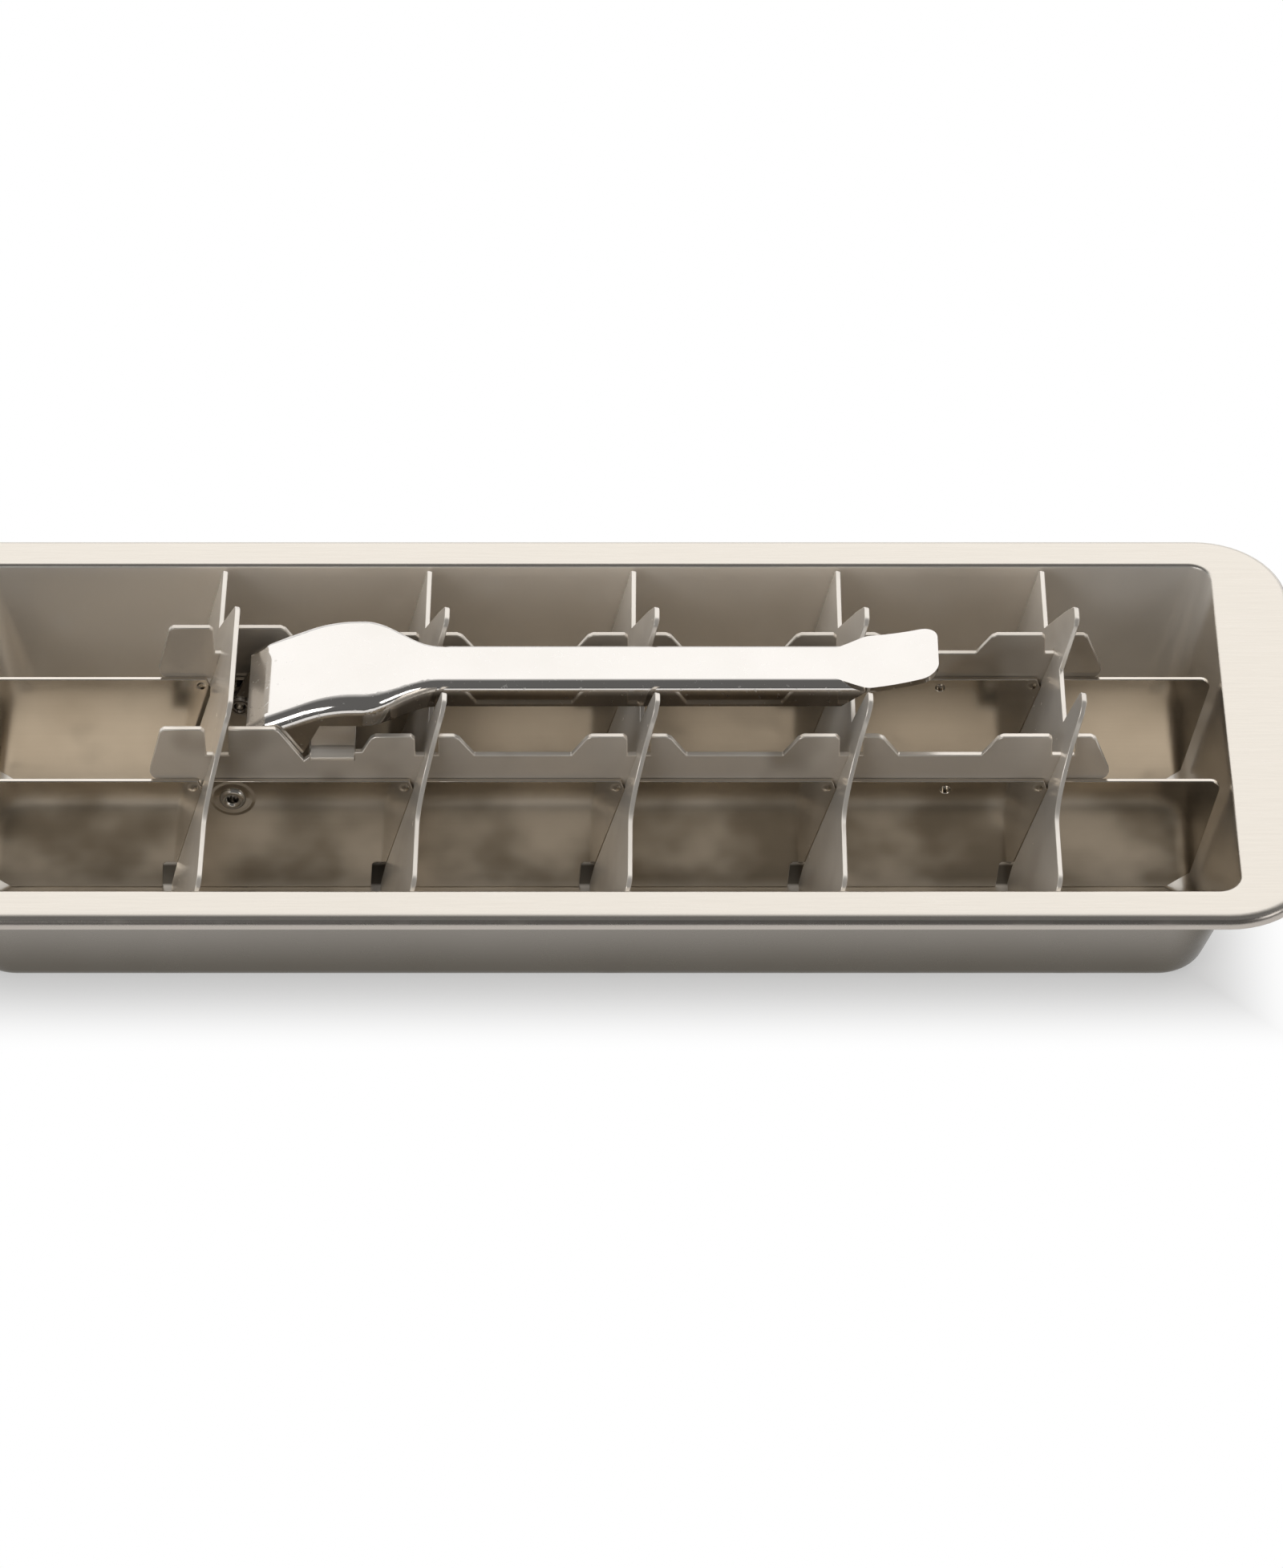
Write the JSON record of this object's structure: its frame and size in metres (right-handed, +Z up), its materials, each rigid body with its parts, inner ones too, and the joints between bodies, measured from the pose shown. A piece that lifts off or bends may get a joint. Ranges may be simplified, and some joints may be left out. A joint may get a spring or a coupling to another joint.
{
  "type": "lever ice cube tray",
  "caption": "Steel ice cube tray: a rimmed pan with a lift-out grid of long walls and leaning cross blades, and a lever that swings the blades upright to free the ice.",
  "frame": {"origin": "middle of the tray's length and width, on the surface it stands on", "axes": "+X along the tray towards the lever's free end, +Y across it, +Z up out of the tray's mouth"},
  "size_m": [0.2858, 0.1142, 0.0504],
  "materials": {
    "pan_steel": "satin pan with finely brushed rim",
    "wall_steel": "bright cold-rolled sheet",
    "blade_steel": "bright cold-rolled sheet",
    "slide_steel": "bright cold-rolled sheet",
    "eyelet_steel": "bright",
    "lever_steel": "mirror polished"
  },
  "bodies": {
    "tray": {"pan": "pan_steel"},
    "grid": {"near_wall": "wall_steel", "far_wall": "wall_steel", "near_eyelet": "eyelet_steel", "far_eyelet": "eyelet_steel"},
    "slide": {"slide_frame": "slide_steel"},
    "lever": {"lever": "lever_steel"},
    "blade_1": {"blade_1": "blade_steel"},
    "blade_2": {"blade_2": "blade_steel"},
    "blade_3": {"blade_3": "blade_steel"},
    "blade_4": {"blade_4": "blade_steel"},
    "blade_5": {"blade_5": "blade_steel"}
  },
  "joints": [
    {"name": "grid_lift", "type": "slide", "parent": "tray", "child": "grid", "axis": [0, 0, 1], "range_m": [0, 0.06]},
    {"name": "lever_lift", "type": "hinge", "parent": "grid", "child": "lever", "pos_m": [-0.07038, 0, 0.0249], "axis": [0, -1, 0], "range_deg": [0, 33]},
    {"name": "slide_pull", "type": "slide", "parent": "grid", "child": "slide", "axis": [-1, 0, 0], "range_m": [0, 0.004]},
    {"name": "blade_1_swing", "type": "hinge", "parent": "grid", "child": "blade_1", "pos_m": [-0.07582, 0, 0.02765], "axis": [0, -1, 0], "range_deg": [0, 25]},
    {"name": "blade_2_swing", "type": "hinge", "parent": "grid", "child": "blade_2", "pos_m": [-0.03392, 0, 0.02765], "axis": [0, -1, 0], "range_deg": [0, 16.5]},
    {"name": "blade_3_swing", "type": "hinge", "parent": "grid", "child": "blade_3", "pos_m": [0.00798, 0, 0.02765], "axis": [0, -1, 0], "range_deg": [0, 16.5]},
    {"name": "blade_4_swing", "type": "hinge", "parent": "grid", "child": "blade_4", "pos_m": [0.04988, 0, 0.02765], "axis": [0, -1, 0], "range_deg": [0, 16.5]},
    {"name": "blade_5_swing", "type": "hinge", "parent": "grid", "child": "blade_5", "pos_m": [0.09178, 0, 0.02765], "axis": [0, -1, 0], "range_deg": [0, 16.5]}
  ],
  "couplings": [
    {"joint": "slide_pull", "follows": "lever_lift", "m_per_rad": 0.0069442},
    {"joint": "blade_1_swing", "follows": "lever_lift", "ratio": 0.7575},
    {"joint": "blade_2_swing", "follows": "lever_lift", "ratio": 0.49995},
    {"joint": "blade_3_swing", "follows": "lever_lift", "ratio": 0.49995},
    {"joint": "blade_4_swing", "follows": "lever_lift", "ratio": 0.49995},
    {"joint": "blade_5_swing", "follows": "lever_lift", "ratio": 0.49995}
  ]
}
